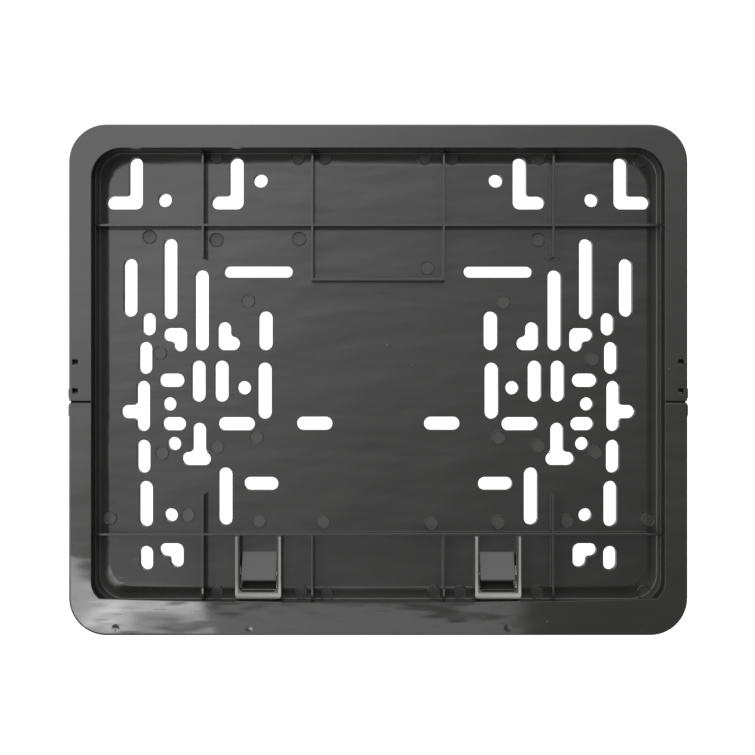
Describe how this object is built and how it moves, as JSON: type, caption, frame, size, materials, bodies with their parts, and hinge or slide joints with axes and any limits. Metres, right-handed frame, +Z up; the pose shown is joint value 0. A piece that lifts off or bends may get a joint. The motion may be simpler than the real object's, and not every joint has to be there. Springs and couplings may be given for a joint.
{
  "type": "number plate holder",
  "caption": "Two-line number plate holder: slotted, ribbed tray with a lipped rim whose lower half is a separate clipped frame.",
  "frame": {"origin": "middle of the mounting face of the tray's floor, half way up the holder", "axes": "+Z up as mounted on a vehicle, front towards -Y, +X to the right seen from the front"},
  "size_m": [0.266, 0.014, 0.2188],
  "materials": {
    "base_plastic": "semi-gloss black moulded ABS",
    "frame_plastic": "semi-gloss black moulded ABS"
  },
  "bodies": {
    "root": {"base": "base_plastic", "lower_frame": "frame_plastic"}
  },
  "joints": []
}
